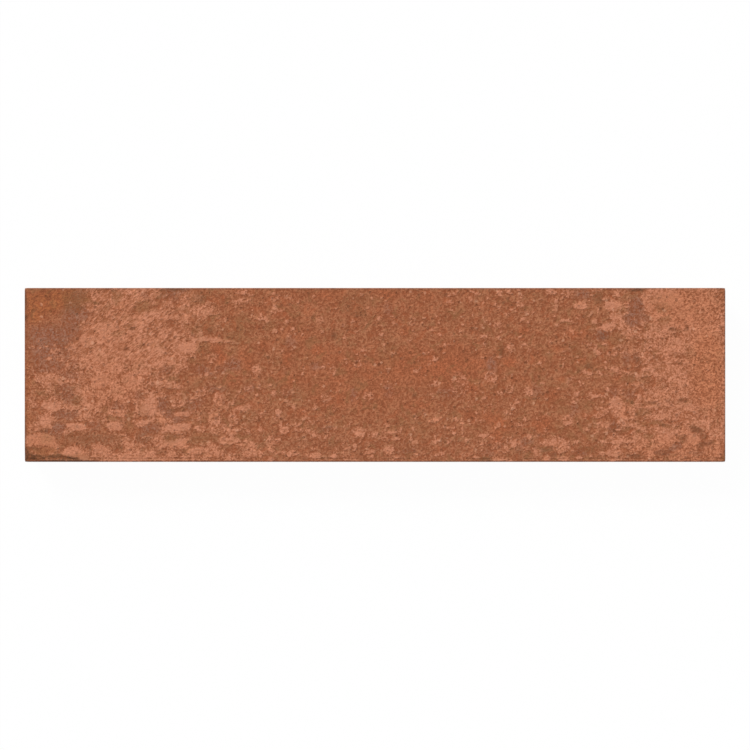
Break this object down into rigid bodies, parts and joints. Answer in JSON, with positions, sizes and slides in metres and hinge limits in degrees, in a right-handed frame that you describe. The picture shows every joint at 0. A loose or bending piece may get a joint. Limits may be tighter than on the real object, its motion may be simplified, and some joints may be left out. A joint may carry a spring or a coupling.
{
  "type": "handmade tile",
  "caption": "Long narrow handmade terracotta tile, one piece of fired clay with a sandy, slip-mottled face, eased edges, leaning sides and grooves along its back.",
  "frame": {"origin": "the middle of the tile's back, on the surface that it lies on", "axes": "+X along the tile's length, +Y across its width towards the picture's upper edge, +Z out of its face"},
  "size_m": [0.3, 0.0744, 0.02],
  "materials": {
    "terracotta": "matt, unglazed, sandy fired clay with a paler slip in patches"
  },
  "bodies": {
    "root": {"clay_tile": "terracotta"}
  },
  "joints": []
}
